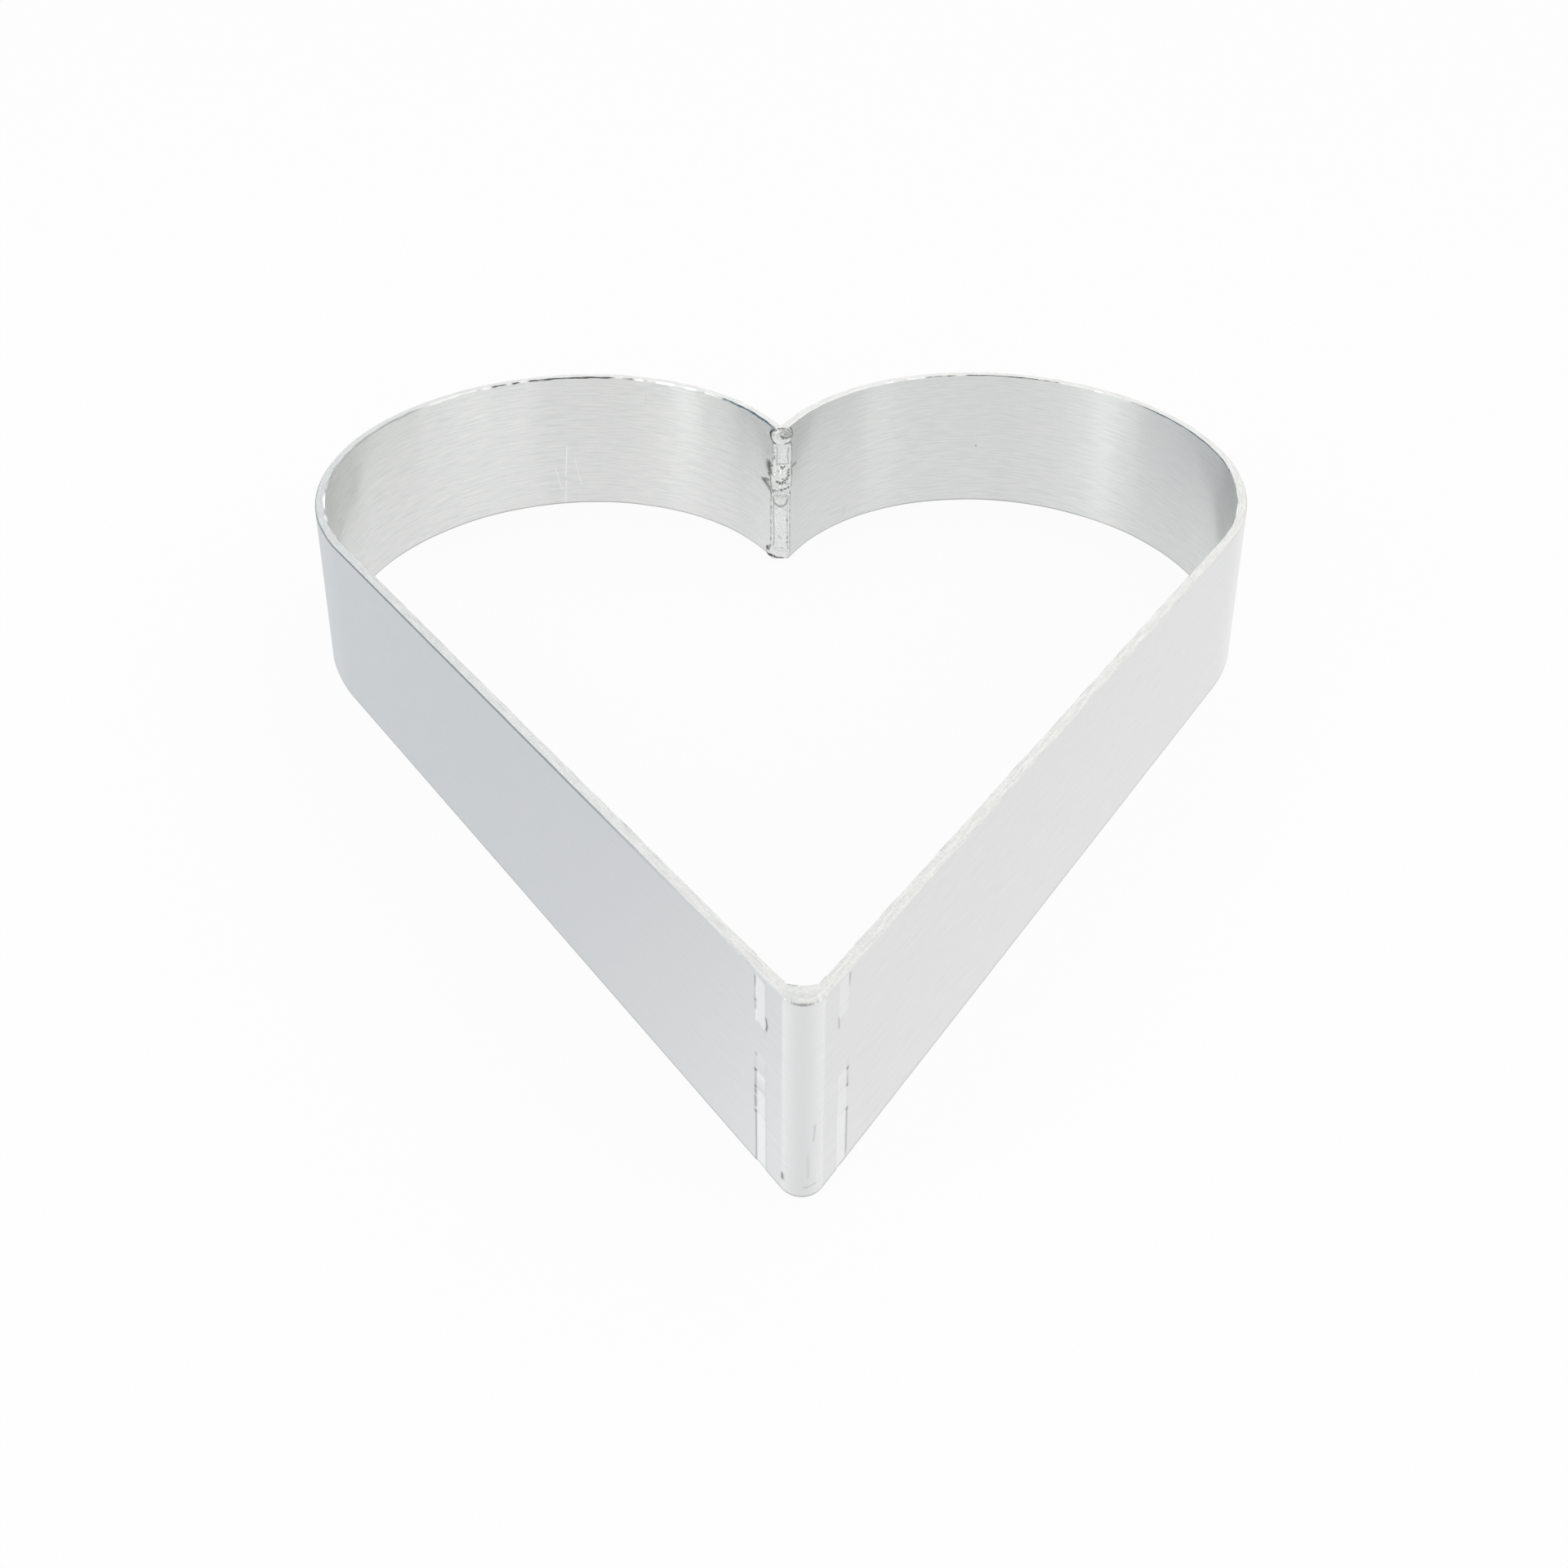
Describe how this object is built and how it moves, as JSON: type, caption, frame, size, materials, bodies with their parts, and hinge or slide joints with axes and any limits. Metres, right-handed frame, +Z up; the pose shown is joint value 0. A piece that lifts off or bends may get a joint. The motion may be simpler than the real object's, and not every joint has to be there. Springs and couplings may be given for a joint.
{
  "type": "heart cake ring",
  "caption": "Heart-shaped open pastry ring bent from one upright aluminium strip, folded at the tip and closed by an inside weld in the cleft.",
  "frame": {"origin": "bottom centre of the ring's bounding box, on the surface that it stands on", "axes": "+Z up along the strip's height, -Y towards the folded tip, +Y towards the welded cleft, +X to the right seen from the tip"},
  "size_m": [0.255, 0.2556, 0.045],
  "materials": {
    "strip": "satin, brushed along the strip",
    "weld": "as welded, frosty with dark pits"
  },
  "bodies": {
    "root": {"heart_strip": "strip", "weld_top_tack": "weld", "weld_upper_run": "weld", "weld_tie_in": "weld", "weld_lower_run": "weld", "weld_bottom_tack": "weld"}
  },
  "joints": []
}
